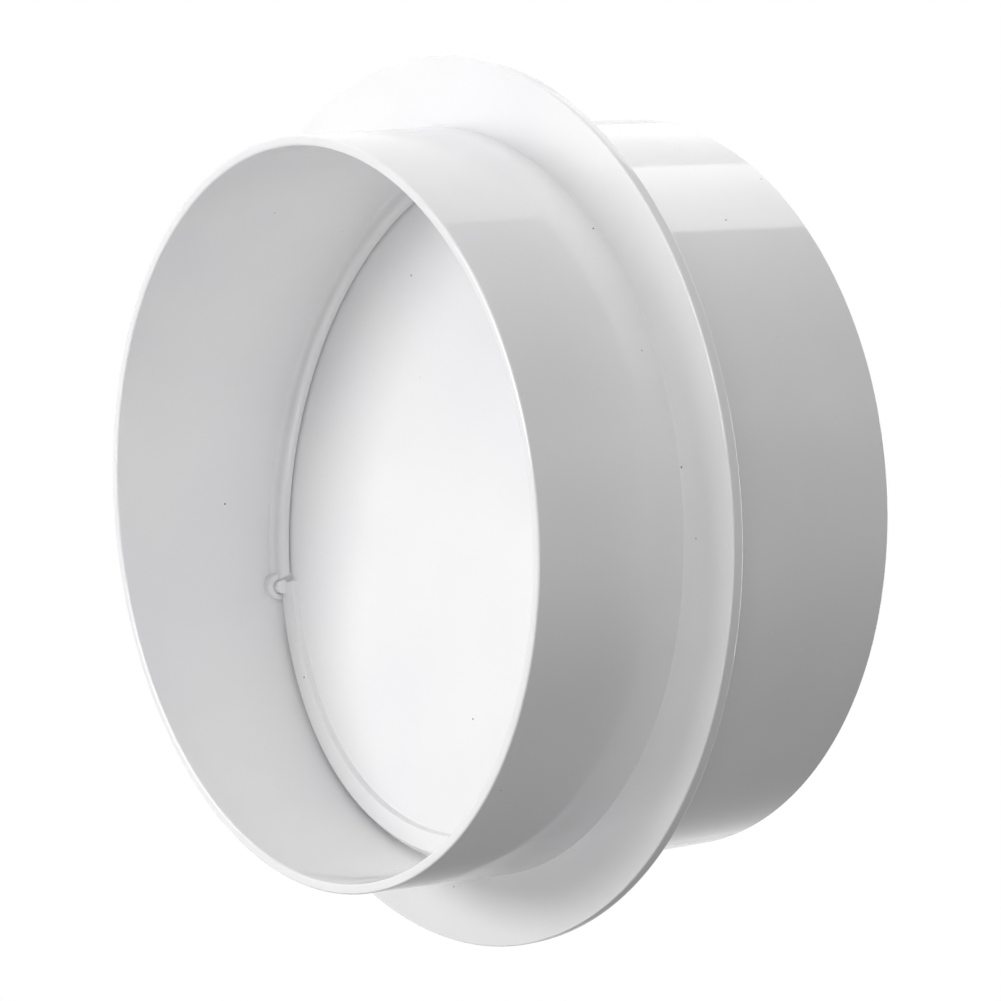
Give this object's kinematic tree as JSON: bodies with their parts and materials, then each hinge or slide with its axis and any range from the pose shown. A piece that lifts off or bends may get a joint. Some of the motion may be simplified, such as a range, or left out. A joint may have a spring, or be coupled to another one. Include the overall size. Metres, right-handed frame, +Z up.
{
  "type": "duct backdraft damper",
  "caption": "White plastic round duct backdraft damper: a flanged sleeve with a spigot at each end and a pivoting flap that its own weight shuts against sloped seats.",
  "frame": {"origin": "on the duct's axis, in the plane of the flange's far face", "axes": "+Y along the duct in the direction the air flows, +Z up as installed in a level duct, +X along the flap's pivot"},
  "size_m": [0.178, 0.0836, 0.178],
  "materials": {
    "casing_plastic": "smooth moulded gloss, white",
    "flap_plastic": "smooth moulded gloss, white"
  },
  "bodies": {
    "casing": {"casing": "casing_plastic"},
    "flap": {"flap": "flap_plastic"}
  },
  "joints": [
    {"name": "flap_swing", "type": "hinge", "parent": "casing", "child": "flap", "pos_m": [0, 0.00085, 0.01828], "axis": [1, 0, 0], "range_deg": [0, 60]}
  ]
}
